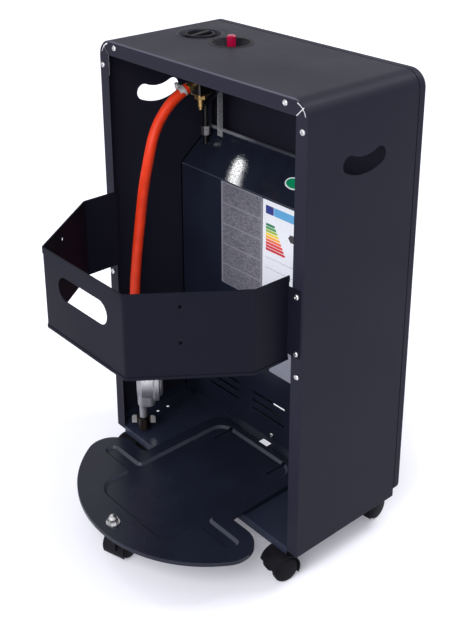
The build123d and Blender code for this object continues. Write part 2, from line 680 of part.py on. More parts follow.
def injector():
    """Brass injector block on the feed pipe, its jet facing the mixing tube's bell."""
    x, y, top = PIPE_ROUTE[-1]
    body = block(x - 9, x + 9, y - 9, y + 19, top - 26, top)
    body = fillet(body.edges().filter_by(Axis.Z), 3)
    jet = turned([(0, 0), (6, 0), (6, 6), (3, 10), (3, 14), (0, 14)])
    return body + Pos(x - 9, -68, 236) * Rot(0, -90, 0) * jet


def pilot_assembly():
    """Pilot bracket under the plaques with its burner, thermocouple and spark electrode."""
    y = BURNER_FRONT_Y
    bracket = block(PILOT_X - 28, PILOT_X + 28, y - 2, y, 250, 262)
    bracket += block(PILOT_X - 28, PILOT_X + 28, y - 14, y, 250, 251.5)
    bracket += rod(PILOT_X - 18, y - 8, 244, 272, 3.2)
    bracket += rod(PILOT_X, y - 8, 240, 280, 2.2)
    bracket += rod(PILOT_X + 18, y - 8, 244, 266, 3.5)
    bracket += rod(PILOT_X + 18, y - 8, 266, 284, 0.9)
    return bracket


# --- castors -------------------------------------------------------------------------------------
def castor_mount(name):
    """Fixed plate and stem."""
    x, y, heading = CASTORS[name]
    top = TRAY_TOP - TRAY_SHEET if name == "tray" else FLOOR_TOP - SHEET
    shoulder = BASE_LIP_BOTTOM
    profile = [(0, top), (15, top), (15, top - 2), (8, top - 2), (8, shoulder), (STEM_RADIUS, shoulder)]
    profile += [(STEM_RADIUS, -24), (0, -24)]
    return Pos(x, y) * turned(profile)


def castor_hood(name):
    """Swivelling core, cowl and axle, drawn with the wheels trailing along +Y."""
    x, y, heading = CASTORS[name]
    centre = (CASTOR_TRAIL, GROUND_Z + WHEEL_RADIUS)
    boss = Pos(0, -17) * Rectangle(15, 18.6)
    core = Pos(*centre) * Circle(15.5) + boss
    core += Polygon((-7.5, -26), (CASTOR_TRAIL, -40), (CASTOR_TRAIL, -12), (0, -7.7), align=None)
    half = CASTOR_CORE / 2
    hood = along_x(core, -half, half)
    cowl = CenterArc(centre, 21.2, 12, 196)
    ring = trace(cowl, 1.8)
    hood += along_x(ring, -half - WHEEL_WIDTH, half + WHEEL_WIDTH)
    hood -= block(-30, 30, -40, 60, -7.7, 20)
    hood -= rod(0, 0, -24.4, 0, STEM_RADIUS + RUNNING_FIT)
    axle = Pos(0, *centre) * Rot(0, 90, 0) * Cylinder(AXLE_RADIUS, 2 * (half + WHEEL_WIDTH) - 4)
    return Pos(x, y) * Rot(0, 0, heading - 90) * (hood + axle)


def castor_wheel(name, side):
    """One wheel of the pair: rounded tread, flat outer disc and the axle bore."""
    x, y, heading = CASTORS[name]
    inner = CASTOR_CORE / 2 + 0.3
    outer = CASTOR_CORE / 2 + WHEEL_WIDTH
    bore = AXLE_RADIUS + RUNNING_FIT
    wheel = turned([
        (bore, inner), (WHEEL_RADIUS - 1, inner), (WHEEL_RADIUS, inner + 1), (WHEEL_RADIUS, outer - 3),
        (WHEEL_RADIUS - 1.5, outer - 0.8), (WHEEL_RADIUS - 3, outer), (0, outer), (0, outer - 1.6),
        (bore, outer - 1.6),
    ])
    wheel = Pos(0, CASTOR_TRAIL, GROUND_Z + WHEEL_RADIUS) * Rot(0, 90 * side, 0) * wheel
    return Pos(x, y) * Rot(0, 0, heading - 90) * wheel


def tray_nut():
    """Domed nut and washer that hold the tray's castor."""
    return Pos(0, TRAY_BOLT_Y) * (
        turned([(0, TRAY_TOP), (10, TRAY_TOP), (10, TRAY_TOP + 1.5), (0, TRAY_TOP + 1.5)])
        + along_z(RegularPolygon(6.5, 6, major_radius=False), TRAY_TOP + 1.5, TRAY_TOP + 8)
        + turned([(0, TRAY_TOP + 8), (6, TRAY_TOP + 8), (4.5, TRAY_TOP + 11.5), (0, TRAY_TOP + 13)])
    )


def main():
    os.makedirs("parts", exist_ok=True)
    write_node("cabinet_shell", cabinet_shell())
    write_node("corner_gusset_left", corner_gusset(1))
    write_node("corner_gusset_right", corner_gusset(-1))
    write_node("front_frame", front_frame())
    write_node("front_louvre_panel", front_louvre_panel())
    write_node("back_plate", back_plate())
    write_node("base_plate", base_plate())
    write_node("bottle_tray", bottle_tray())
    write_node("tray_nut", tray_nut())
    write_node("retaining_band", retaining_band())
    write_node("knob_bezel", knob_bezel())
    write_node("control_knob", control_knob())
    write_node("valve_spindle", valve_spindle())
    write_node("spindle_collar", spindle_collar())
    write_node("valve_body", valve_body())
    write_node("valve_strut", valve_strut())
    write_node("igniter_well", igniter_well())
    write_node("igniter_body", igniter_body())
    write_node("igniter_button", igniter_button())
    write_node("feed_pipe", feed_pipe())
    write_node("injector", injector())
    write_node("burner_body", burner_body())
    for column in range(PLAQUE_COUNT):
        write_node(f"ceramic_plaque_{column + 1}", ceramic_plaque(column))
    write_node("reflector", reflector())
    write_node("guard_grille", guard_grille())
    write_node("pilot_assembly", pilot_assembly())
    write_node("hose_tail", hose_tail())
    write_node("hose_clamp_valve", hose_clamp(0, 1))
    write_node("gas_hose", gas_hose())
    write_node("hose_clamp_regulator", hose_clamp(-1, -1))
    write_node("regulator_body", regulator_body())
    write_node("regulator_bonnet", regulator_bonnet())
    write_node("union_nut", union_nut())
    for name in CASTORS:
        write_node(f"castor_{name}_mount", castor_mount(name))
        write_node(f"castor_{name}_hood", castor_hood(name))
        write_node(f"castor_{name}_wheel_a", castor_wheel(name, 1))
        write_node(f"castor_{name}_wheel_b", castor_wheel(name, -1))


main()
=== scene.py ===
import math

import bmesh
import bpy
from mathutils import Matrix, Vector


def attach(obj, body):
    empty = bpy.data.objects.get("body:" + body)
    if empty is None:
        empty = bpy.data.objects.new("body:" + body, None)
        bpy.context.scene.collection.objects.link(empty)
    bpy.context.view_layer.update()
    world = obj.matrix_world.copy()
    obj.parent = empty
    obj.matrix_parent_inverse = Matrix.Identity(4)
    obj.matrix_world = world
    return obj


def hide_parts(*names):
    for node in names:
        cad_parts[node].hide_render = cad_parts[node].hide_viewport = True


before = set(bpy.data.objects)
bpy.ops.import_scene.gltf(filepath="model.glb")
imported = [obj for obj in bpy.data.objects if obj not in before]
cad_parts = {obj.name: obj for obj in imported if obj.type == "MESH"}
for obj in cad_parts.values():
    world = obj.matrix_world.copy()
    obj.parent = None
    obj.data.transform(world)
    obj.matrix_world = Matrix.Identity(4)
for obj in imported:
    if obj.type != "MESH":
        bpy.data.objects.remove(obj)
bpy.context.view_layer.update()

bl_info = {
    "name": "Gas cabinet heater dressing",
    "version": (1, 0, 0),
    "blender": (4, 5, 0),
    "location": "View3D > Sidebar > Heater",
    "description": "Finishes, hose, fasteners, plates and studio for the portable gas cabinet heater",
    "category": "Object",
}

# The CAD source draws the cabinet about its own middle: y grows to the rear, z = 0 is the lower
# edge of the side panels. These move a point of that drawing, in millimetres, into the frame.
DRAWING_SHIFT = Vector((0.0, -85.25, 50.0))

HOSE_ROUTE = [
    (136, 0, 573), (139.5, 20, 562), (142, 41.5, 541), (140.3, 60, 516), (138.5, 71.5, 482), (148, 76, 434),
    (163, 74, 372), (176.2, 73, 312), (175.5, 80.5, 251), (174.3, 82.3, 194), (164, 84, 152), (159, 84, 127),
]

# Places on the CAD drawing, in millimetres.
PLATE_FACE_Y = -42.2
FLANGE_FACE_Y = 100.0
CREASE_Y = -43.0
CREASE_Z = 427.0
HOOD_SLOPE = math.atan2(45.0, 54.8)
HOOD_LIP = (0, 0, 478)
SHELL_FOLD = (0, 99.0, 648.9)
KNOB_MARKS = (132, -22, 651.06)
UNION_NUT = (159, 84, 0)
GRIP_SLOT = (207, -19, 553)
BAY_MIDDLE = (0, 60, 300)

# The camera that the photograph was taken with, solved from the cabinet's corners.
CAMERA_ANGLES = (229.10, 21.371, -0.204)    # azimuth, elevation and roll in degrees
CAMERA_DISTANCE = 1.491797
CAMERA_FOCUS = (47.994, 0, 454.527)
FOCAL_LENGTH = 1033.333                     # in pixels of the picture
PICTURE_HEIGHT = 630.0
AXIS_ROW = 180.0                            # row of the picture that the lens axis meets
SENSOR_WIDTH = 36.0


def at(x, y, z):
    """Point of the CAD drawing (mm) in the frame (m)."""
    return (Vector((x, y, z)) + DRAWING_SHIFT) / 1000


# --- settings ------------------------------------------------------------------------------------
def colour_setting(name, description, default):
    return bpy.props.FloatVectorProperty(
        name=name, description=description, subtype="COLOR", size=3, min=0.0, max=1.0, default=default
    )


def size_setting(name, description, default):
    return bpy.props.FloatProperty(
        name=name, description=description, default=default, min=0.0, unit="LENGTH", subtype="DISTANCE",
        precision=5,
    )


class HeaterFinishSettings(bpy.types.PropertyGroup):
    """Colours of the heater's finishes."""

    powder_coat: colour_setting("Powder coat", "Cabinet, front frame and lower panel", (0.0165, 0.0163, 0.0278))
    band_coat: colour_setting("Band coat", "Retaining band", (0.0062, 0.0068, 0.0130))
    enamel: colour_setting("Enamel", "Back plate, base and tray", (0.0112, 0.0138, 0.0255))
    hose: colour_setting("Hose", "Gas hose", (0.77, 0.040, 0.0075))
    button: colour_setting("Igniter button", "Push button of the igniter", (0.25, 0.002, 0.028))
    brass: colour_setting("Brass", "Lower valve, injector and hose tail", (0.66, 0.44, 0.17))
    zinc: colour_setting("Zinc", "Screws, castor mounts, lower hose clamp and guard", (0.66, 0.66, 0.67))
    casting: colour_setting("Casting", "Regulator", (0.33, 0.33, 0.36))
    castor_plastic: colour_setting("Castor plastic", "Castor hoods and wheels", (0.0080, 0.0080, 0.0105))


class HeaterDetailSettings(bpy.types.PropertyGroup):
    """Sizes of the small pieces."""

    screw_radius: size_setting("Screw head radius", "Pan-head screws on the flanges", 0.0041)
    screw_height: size_setting("Screw head height", "Pan-head screws on the flanges", 0.0024)
    plate_thickness: size_setting("Plate thickness", "Stuck-on plates and bars", 0.00018)
    mark_width: size_setting("Mark width", "Setting arcs round the knob", 0.0017)


class HeaterStageSettings(bpy.types.PropertyGroup):
    """Studio round the heater."""

    floor_colour: colour_setting("Floor", "Pale studio floor", (0.85, 0.85, 0.92))
    surround: bpy.props.FloatProperty(
        name="Surround", description="Light from the pale walls of the studio", default=0.75, min=0.0
    )
    dark_side: bpy.props.FloatProperty(
        name="Dark side", description="Light from the open end of the studio", default=0.22, min=0.0
    )
    top_light: bpy.props.FloatProperty(
        name="Top light", description="Power of the high softbox beyond the burner front", default=17.0, min=0.0,
        unit="POWER",
    )
    side_light: bpy.props.FloatProperty(
        name="Side light", description="Power of the high softbox beside the cabinet", default=3.0, min=0.0,
        unit="POWER",
    )
    fill_light: bpy.props.FloatProperty(
        name="Fill light", description="Power of the soft fill that reaches into the bay", default=32.0, min=0.0,
        unit="POWER",
    )


# --- shader graphs -------------------------------------------------------------------------------
class Value:
    """A shader socket, so that shader maths can be written as an expression."""

    def __init__(self, finish, socket):
        self.finish = finish
        self.socket = socket

    def maths(self, operation, *others):
        return self.finish.node("ShaderNodeMath", {"operation": operation}, *((self,) + others))

    def __add__(self, other):
        return self.maths("ADD", other)

    __radd__ = __add__

    def __sub__(self, other):
        return self.maths("SUBTRACT", other)

    def __rsub__(self, other):
        return self.finish.node("ShaderNodeMath", {"operation": "SUBTRACT"}, other, self)

    def __mul__(self, other):
        return self.maths("MULTIPLY", other)

    __rmul__ = __mul__

    def __truediv__(self, other):
        return self.maths("DIVIDE", other)

    def __gt__(self, other):
        return self.maths("GREATER_THAN", other)

    def __lt__(self, other):
        return self.maths("LESS_THAN", other)

    def __abs__(self):
        return self.maths("ABSOLUTE", 0.0)

    def floor(self):
        return self.maths("FLOOR", 0.0)

    def between(self, low, high):
        """1 where the value lies between two limits, otherwise 0."""
        return (self > low) * (self < high)


class Finish:
    """One material's node graph, round a Principled shader."""

    def __init__(self, name, **constants):
        self.material = bpy.data.materials.new(name)
        self.material.use_nodes = True
        self.tree = self.material.node_tree
        self.tree.nodes.clear()
        self.output = self.tree.nodes.new("ShaderNodeOutputMaterial")
        self.shader = self.tree.nodes.new("ShaderNodeBsdfPrincipled")
        self.tree.links.new(self.shader.outputs[0], self.output.inputs["Surface"])
        self.place = Value(self, self.tree.nodes.new("ShaderNodeTexCoord").outputs["Object"])
        for socket, value in constants.items():
            self.set(socket.replace("_", " "), value)

    def node(self, kind, settings, *values, out=0, **named):
        """Adds a node: its settings first, then the values or links of its sockets."""
        node = self.tree.nodes.new(kind)
        for key, value in settings.items():
            if key == "stops":
                self.ramp_stops(node.color_ramp, value)
            else:
                setattr(node, key, value)
        for index, value in enumerate(values):
            self.feed(node.inputs[index], value)
        for key, value in named.items():
            self.feed(node.inputs[key.replace("_", " ")], value)
        return Value(self, node.outputs[out])

    def ramp_stops(self, ramp, stops):
        while len(ramp.elements) < len(stops):
            ramp.elements.new(0.5)
        for element, (position, colour) in zip(ramp.elements, stops):
            element.position = position
            element.color = (*colour, 1.0)

    def feed(self, socket, value):
        if isinstance(value, Value):
            self.tree.links.new(value.socket, socket)
        elif socket.type == "RGBA":
            socket.default_value = (*value[:3], 1.0)
        else:
            socket.default_value = value

    def set(self, socket, value):
        self.feed(self.shader.inputs[socket], value)

    def axis(self, name, source=None):
        """One coordinate of the object, in metres."""
        split = self.node("ShaderNodeSeparateXYZ", {}, source or self.place)
        return Value(self, split.socket.node.outputs[name])

    def noise(self, size, detail=3.0, roughness=0.55, source=None):
        """Soft noise whose features are about size metres across."""
        return self.node(
            "ShaderNodeTexNoise", {}, Vector=source or self.place, Scale=1.0 / size, Detail=detail,
            Roughness=roughness,
        )

    def stretched(self, scale):
        """The object's coordinates, scaled along each axis."""
        return self.node("ShaderNodeMapping", {}, Vector=self.place, Scale=scale)

    def remap(self, value, low, high, new_low, new_high):
        return self.node("ShaderNodeMapRange", {}, value, low, high, new_low, new_high)

    def mix(self, amount, first, second):
        """Mixes two colours."""
        node = self.tree.nodes.new("ShaderNodeMix")
        node.data_type = "RGBA"
        self.feed(node.inputs["Factor"], amount)
        self.feed(node.inputs[6], first)
        self.feed(node.inputs[7], second)
        return Value(self, node.outputs[2])

    def bump(self, height, distance, strength=1.0):
        self.set("Normal", self.node("ShaderNodeBump", {}, Height=height, Distance=distance, Strength=strength))


def maximum(first, second):
    return first.maths("MAXIMUM", second)


def shade(colour, factor):
    return tuple(min(1.0, channel * factor) for channel in colour)


def powder_coat(name, colour, grain=0.0009, fold=None):
    """Fine-grained matte paint with faint handling marks; beyond the fold it is painted lighter, as a painted
    highlight along the bend.
    """
    finish = Finish(name, Specular_IOR_Level=0.065, Specular_Tint=(0.97, 0.95, 1.0))
    speck = finish.noise(grain, detail=2.0)
    cloud = finish.noise(0.12, detail=4.0)
    cover = finish.remap(speck, 0.35, 0.65, 0.0, 1.0)
    ground = finish.mix(cover, shade(colour, 0.86), shade(colour, 1.16))
    if fold:
        # painted highlight: the strip beyond the top's rear fold is mixed towards a lighter grey
        fold_highlight = (finish.axis("Y") > fold.y) * (finish.axis("Z") > fold.z)
        ground = finish.mix(fold_highlight * 0.6, ground, (0.13, 0.13, 0.17))
    finish.set("Base Color", ground)
    finish.set("Roughness", finish.remap(cloud, 0.3, 0.7, 0.44, 0.53) + finish.remap(speck, 0.3, 0.7, -0.03, 0.03))
    finish.bump(speck, 0.00006, 0.7)
    return finish.material


def enamel(name, colour, gloss=0.2, peel=0.0022, sheen=0.18, depth=0.00016, coat=0.0, ridge_highlight=0.0,
           lip=0.0):
    """Glossy dipped enamel with orange peel; the coat is the speckled gloss above the hood's crease,
    ridge_highlight is how strongly sloping faces are painted lighter as a highlight, and the lip is the height above
    which the rolled edge is painted lighter as a highlight."""
    finish = Finish(name, Specular_IOR_Level=sheen, Coat_Roughness=0.12)
    crease = at(0, 0, CREASE_Z).z
    if coat:
        above = finish.remap(finish.axis("Z"), crease - 0.001, crease + 0.001, 0.0, 1.0)
        speckle = finish.remap(finish.noise(0.0022, detail=2.0), 0.36, 0.60, 0.25, 1.0)
        finish.set("Coat Weight", above * speckle * coat)
    wave = finish.noise(peel, detail=2.5, roughness=0.6)
    cloud = finish.noise(0.09, detail=3.0)
    ground = finish.mix(finish.remap(cloud, 0.3, 0.7, 0.0, 1.0), shade(colour, 0.85), shade(colour, 1.2))
    # painted highlight: faces sloping by their normal are mixed towards a lighter blue-grey
    if ridge_highlight:
        normal = Value(finish, finish.tree.nodes.new("ShaderNodeNewGeometry").outputs["Normal"])
        tilt = finish.axis("Z", normal)
        slope = finish.remap(tilt, 0.66, 0.86, 1.0, 0.0) * finish.remap(tilt, 0.15, 0.40, 0.0, 1.0)
        ground = finish.mix(slope * ridge_highlight, ground, (0.080, 0.084, 0.112))
    if lip:
        x, z = finish.axis("X"), finish.axis("Z")
        # painted highlight: above the lip height the rolled edge is mixed towards a light grey, fading out across x
        lip_highlight = finish.remap(z, lip - 0.0015, lip, 0.0, 1.0) * finish.remap(x, 0.085, 0.125, 0.12, 0.6)
        ground = finish.mix(lip_highlight, ground, (0.30, 0.31, 0.34))
        # painted highlight: a thin lighter line along the hood's crease
        ground = finish.mix((abs(z - crease) < 0.0006) * 0.5, ground, (0.10, 0.11, 0.15))
        # painted shade: a near-black strip at the plate's side edges, in the gap against the side walls
        ground = finish.mix(abs(x) > 0.2058, ground, (0.001, 0.001, 0.001))
    finish.set("Base Color", ground)
    finish.set("Roughness", finish.remap(cloud, 0.3, 0.7, gloss - 0.03, gloss + 0.05))
    finish.bump(wave, depth, 0.55)
    return finish.material


def plated_metal(name, colour, roughness=0.28, dull=0.55, grain=(1.0, 1.0, 1.0), metallic=1.0):
    """Plated or drawn metal with soft mottling."""
    finish = Finish(name, Metallic=metallic)
    mottle = finish.noise(0.004, detail=4.0, source=finish.stretched(grain))
    cloud = finish.noise(0.03)
    finish.set("Base Color", finish.mix(finish.remap(mottle, 0.35, 0.7, 0.0, 1.0), colour, shade(colour, dull)))
    finish.set("Roughness", finish.remap(cloud, 0.3, 0.7, roughness - 0.06, roughness + 0.1))
    finish.bump(mottle, 0.00004, 0.4)
    return finish.material


def moulded_plastic(name, colour, roughness, texture=0.0007, depth=0.00003, sheen=0.2):
    """Injection-moulded plastic with a fine spark-eroded grain."""
    finish = Finish(name, Specular_IOR_Level=sheen)
    grain = finish.noise(texture, detail=2.0)
    wear = finish.noise(0.02, detail=4.0)
    finish.set("Base Color", finish.mix(finish.remap(wear, 0.35, 0.7, 0.0, 1.0), colour, shade(colour, 1.5)))
    finish.set("Roughness", finish.remap(wear, 0.3, 0.7, roughness - 0.05, roughness + 0.07))
    finish.bump(grain, depth, 0.6)
    return finish.material


def sand_cast(name, colour):
    """Die casting with a sandy skin."""
    finish = Finish(name, Metallic=0.75)
    sand = finish.noise(0.0011, detail=3.0, roughness=0.7)
    cloud = finish.noise(0.012, detail=3.0)
    cover = finish.remap(sand, 0.3, 0.7, 0.0, 1.0)
    finish.set("Base Color", finish.mix(cover, shade(colour, 0.72), shade(colour, 1.25)))
    finish.set("Roughness", finish.remap(cloud, 0.3, 0.7, 0.38, 0.55))
    finish.bump(sand, 0.00022, 0.8)
    return finish.material


def height_blend(name, low, high, edges, roughness=0.35):
    """Metal that changes from one colour to another at the heights of the edges, in metres."""
    finish = Finish(name, Metallic=1.0)
    z = finish.axis("Z")
    mottle = finish.noise(0.004, detail=4.0)
    inside = z.between(*edges)
    tone = finish.mix(inside, high, low)
    dull = finish.mix(inside, shade(high, 0.6), shade(low, 0.6))
    finish.set("Base Color", finish.mix(finish.remap(mottle, 0.35, 0.7, 0.0, 1.0), tone, dull))
    finish.set("Roughness", finish.remap(mottle, 0.3, 0.7, roughness - 0.06, roughness + 0.1))
    finish.bump(mottle, 0.00006, 0.5)
    return finish.material


def winged_nut(name, centre, radius):
    """Dark oxidised hexagon with bright plated finger wings beyond a radius."""
    finish = Finish(name, Metallic=1.0)
    x = finish.axis("X") - centre.x
    y = finish.axis("Y") - centre.y
    wing = (x * x + y * y).maths("SQRT", 0.0) > radius
    mottle = finish.noise(0.003, detail=4.0)
    dark = finish.mix(mottle, (0.055, 0.038, 0.032), (0.03, 0.024, 0.024))
    finish.set("Base Color", finish.mix(wing, dark, (0.62, 0.60, 0.60)))
    finish.set("Roughness", finish.remap(mottle, 0.3, 0.7, 0.3, 0.46))
    finish.bump(mottle, 0.00004, 0.4)
    return finish.material


def hose_rubber(name, colour):
    """Extruded rubber with a faint cloth impression and dusty patches."""
    finish = Finish(name, Specular_IOR_Level=0.25)
    cloth = finish.noise(0.0008, detail=2.0)
    dust = finish.noise(0.025, detail=4.0)
    finish.set("Base Color", finish.mix(finish.remap(dust, 0.35, 0.75, 0.0, 1.0), colour, shade(colour, 0.8)))
    finish.set("Roughness", finish.remap(dust, 0.3, 0.7, 0.4, 0.55))
    finish.bump(cloth, 0.00005, 0.6)
    return finish.material


def drilled_ceramic(name):
    """Burner plaque: staggered rows of fine holes."""
    finish = Finish(name, Specular_IOR_Level=0.2)
    pitch = 0.0026
    across = finish.axis("X") / pitch
    up = finish.axis("Z") / (pitch * 0.87)
    row = up.floor()
    shifted = across + row.maths("MODULO", 2.0) * 0.5
    dx = shifted - shifted.floor() - 0.5
    dz = up - row - 0.5
    reach = (dx * dx + dz * dz * 0.76).maths("SQRT", 0.0)
    hole = finish.remap(reach, 0.22, 0.32, 1.0, 0.0)
    stain = finish.noise(0.03)
    body = finish.mix(finish.remap(stain, 0.35, 0.7, 0.0, 1.0), (0.72, 0.66, 0.57), (0.60, 0.53, 0.45))
    # painted shade: the holes are coloured dark as the shade inside them
    finish.set("Base Color", finish.mix(hole, body, (0.10, 0.085, 0.07)))
    finish.set("Roughness", 0.85)
    finish.bump(1.0 - hole, 0.0006, 0.9)
    return finish.material


def brushed_reflector(name):
    """Polished sheet with fine draw lines and heat bloom."""
    finish = Finish(name, Metallic=1.0)
    lines = finish.noise(0.001, detail=2.0, source=finish.stretched((0.06, 1.0, 1.0)))
    bloom = finish.noise(0.06)
    heat = finish.remap(bloom, 0.4, 0.75, 0.0, 1.0)
    finish.set("Base Color", finish.mix(heat, (0.70, 0.69, 0.67), (0.62, 0.56, 0.46)))
    finish.set("Roughness", finish.remap(lines, 0.3, 0.7, 0.12, 0.26))
    finish.bump(lines, 0.00003, 0.5)
    return finish.material


def ruled_plate(name):
    """Bare grey data plate with a printed border and empty table rules."""
    finish = Finish(name, Specular_IOR_Level=0.5)
    x = finish.axis("X") * 1000.0
    z = finish.axis("Z") * 1000.0
    step = (z - 304.0) / 34.0
    across = abs(step - step.floor() - 0.5) > 0.465
    inside = x.between(21.0, 106.0)
    grain = finish.noise(0.0016, detail=3.0, roughness=0.8, source=finish.stretched((0.45, 1.0, 1.0)))
    ground = finish.mix(finish.remap(grain, 0.36, 0.64, 0.0, 1.0), (0.045, 0.045, 0.06), (0.22, 0.22, 0.265))
    finish.set("Base Color", finish.mix(maximum(across, 1.0 - inside), ground, (0.22, 0.22, 0.26)))
    finish.set("Roughness", finish.remap(grain, 0.3, 0.7, 0.34, 0.46))
    finish.bump(grain, 0.00003, 0.4)
    return finish.material


def printed_film(name, colour, roughness=0.35):
    """Plain printed film of one colour, very slightly mottled."""
    finish = Finish(name, Specular_IOR_Level=0.45)
    mottle = finish.noise(0.003, detail=3.0)
    cover = finish.remap(mottle, 0.3, 0.7, 0.0, 1.0)
    finish.set("Base Color", finish.mix(cover, shade(colour, 0.95), shade(colour, 1.03)))
    finish.set("Roughness", finish.remap(mottle, 0.3, 0.7, roughness - 0.04, roughness + 0.06))
    finish.bump(mottle, 0.00002, 0.3)
    return finish.material


MATERIALS = {}


def material(name):
    """The finish of that name, made on first use."""
    if name not in MATERIALS:
        finish = bpy.context.scene.heater_finish
        makers = {
            "powder_coat": lambda: powder_coat(name, finish.powder_coat),
            "shell_coat": lambda: powder_coat(name, finish.powder_coat, fold=at(*SHELL_FOLD)),
            "band_coat": lambda: powder_coat(name, finish.band_coat),
            "enamel_plate": lambda: enamel(name, finish.enamel, gloss=0.05, peel=0.0024, sheen=0.10, coat=0.75,
                                           depth=0.00034, lip=at(*HOOD_LIP).z),
            "enamel_tray": lambda: enamel(name, finish.enamel, gloss=0.24, peel=0.0026, ridge_highlight=0.6),
            # painted light: the base's enamel is a lighter copy of the enamel, standing in for the light the base
            # reflects
            "enamel_base_painted_light": lambda: enamel(name, shade(finish.enamel, 1.55), gloss=0.24, peel=0.0026),
            "zinc": lambda: plated_metal(name, finish.zinc),
            "steel": lambda: plated_metal(name, (0.50, 0.50, 0.52), roughness=0.34, grain=(1.0, 1.0, 0.15)),
            "brass": lambda: plated_metal(name, finish.brass, roughness=0.3, dull=0.6),
            "reflector": lambda: brushed_reflector(name),
            "ceramic": lambda: drilled_ceramic(name),
            "black_plastic": lambda: moulded_plastic(name, (0.010, 0.010, 0.012), 0.36, sheen=0.12),
            "bezel_plastic": lambda: moulded_plastic(name, (0.0150, 0.0150, 0.0240), 0.48, sheen=0.09),
            "dish_plastic": lambda: moulded_plastic(name, (0.007, 0.007, 0.010), 0.45, sheen=0.05),
            "castor_plastic": lambda: moulded_plastic(name, finish.castor_plastic, 0.42, sheen=0.035),
            "red_plastic": lambda: moulded_plastic(name, finish.button, 0.22, depth=0.00001),
            "casting": lambda: sand_cast(name, finish.casting),
            "dark_nut": lambda: winged_nut(name, at(*UNION_NUT), 0.0112),
            "valve": lambda: height_blend(name, finish.brass, (0.07, 0.066, 0.062), (0.5, 0.612)),
            "pipe": lambda: height_blend(name, (0.6, 0.6, 0.6), (0.055, 0.055, 0.06), (0.5205, 0.535)),
            "bright_zinc": lambda: plated_metal(name, (0.88, 0.88, 0.90), roughness=0.3, dull=0.8, metallic=0.6),
            "passivated_zinc": lambda: plated_metal(name, (0.50, 0.51, 0.53), roughness=0.34, metallic=0.35),
            "hose": lambda: hose_rubber(name, finish.hose),
            "data_plate": lambda: ruled_plate(name),
            "label_white": lambda: printed_film(name, (0.80, 0.82, 0.88)),
            "label_lilac": lambda: printed_film(name, (0.34, 0.34, 0.41)),
            "label_navy": lambda: printed_film(name, (0.020, 0.035, 0.22)),
            "label_sky": lambda: printed_film(name, (0.10, 0.36, 0.66)),
            "label_rule": lambda: printed_film(name, (0.30, 0.34, 0.42)),
            "label_black": lambda: printed_film(name, (0.02, 0.02, 0.025)),
            "label_green": lambda: printed_film(name, (0.0, 0.235, 0.10)),
        }
        MATERIALS[name] = makers[name]()
    return MATERIALS[name]


# --- modelling helpers ---------------------------------------------------------------------------
def deselect():
    if bpy.context.object and bpy.context.object.mode != "OBJECT":
        bpy.ops.object.mode_set(mode="OBJECT")
    bpy.ops.object.select_all(action="DESELECT")


def edit(obj, faces=None, edges=None, vertices=None):
    """Enters edit mode with just the wanted elements selected, by their place and normal."""
    mode = "FACE" if faces else "EDGE" if edges else "VERT"
    bpy.ops.object.mode_set(mode="EDIT")
    bpy.ops.mesh.select_mode(type=mode)
    bpy.ops.mesh.select_all(action="DESELECT")
    mesh = bmesh.from_edit_mesh(obj.data)
    if faces:
        for face in mesh.faces:
            face.select_set(bool(faces(face.calc_center_median(), face.normal)))
    elif edges:
        for edge in mesh.edges:
            edge.select_set(bool(edges(*(vertex.co for vertex in edge.verts))))
    else:
        for vertex in mesh.verts:
            vertex.select_set(bool(vertices(vertex.co)))
    bmesh.update_edit_mesh(obj.data)


def leave_edit():
    bpy.ops.object.mode_set(mode="OBJECT")


def apply_modifier(obj, kind, **settings):
    modifier = obj.modifiers.new(kind.lower(), kind)
    for key, value in settings.items():
        setattr(modifier, key, value)
    bpy.ops.object.modifier_apply(modifier=modifier.name)


def seat(obj, point, facing=(0, 0, 1), spin=0.0):
    """Turns a piece drawn about +Z to face a direction, moves it to a point and applies both."""
    turn = Vector(facing).to_track_quat("Z", "Y").to_matrix().to_4x4()
    obj.matrix_world = Matrix.Translation(point) @ turn @ Matrix.Rotation(spin, 4, "Z")
    deselect()
    bpy.context.view_layer.objects.active = obj
    obj.select_set(True)
    bpy.ops.object.transform_apply(location=True, rotation=True, scale=True)


def copy_of(obj, name):
    twin = obj.copy()
    twin.data = obj.data.copy()
    twin.name = name
    bpy.context.scene.collection.objects.link(twin)
    return twin


def dress(obj, name, body, finish, angle=35.0):
    """Names a finished piece, smooths it, gives it its material and lets it ride on its body."""
    obj.name = name
    obj.data.name = name
    deselect()
    bpy.context.view_layer.objects.active = obj
    obj.select_set(True)
    bpy.ops.object.shade_smooth_by_angle(angle=math.radians(angle))
    obj.data.materials.clear()
    obj.data.materials.append(material(finish))
    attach(obj, body)
    obj.select_set(False)


def finish_node(name, finish, edge=0.0, angle=30.0):
    """Gives a CAD node its material, smooth curves and, where an edge width is given, softened edges."""
    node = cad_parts[name]
    node.data.materials.clear()
    node.data.materials.append(material(finish))
    for polygon in node.data.polygons:
        polygon.use_smooth = True
        polygon.material_index = 0
    weld = node.modifiers.new("merge facets", "WELD")
    weld.merge_threshold = 0.000004
    if edge:
        flat = node.modifiers.new("flat faces", "DECIMATE")
        flat.decimate_type = "DISSOLVE"
        flat.angle_limit = math.radians(0.5)
        round_edges = node.modifiers.new("round edges", "BEVEL")
        round_edges.width = edge
        round_edges.segments = 2
        round_edges.limit_method = "ANGLE"
        round_edges.angle_limit = math.radians(angle)
        round_edges.use_clamp_overlap = True
        flatten = node.modifiers.new("even shading", "WEIGHTED_NORMAL")
        flatten.weight = 100
        flatten.keep_sharp = True
    else:
        split = node.modifiers.new("keep edges", "EDGE_SPLIT")
        split.split_angle = math.radians(angle)


# --- operators -----------------------------------------------------------------------------------
class HeaterOperator:
    bl_options = {"REGISTER", "UNDO"}

    @property
    def details(self):
        return bpy.context.scene.heater_details


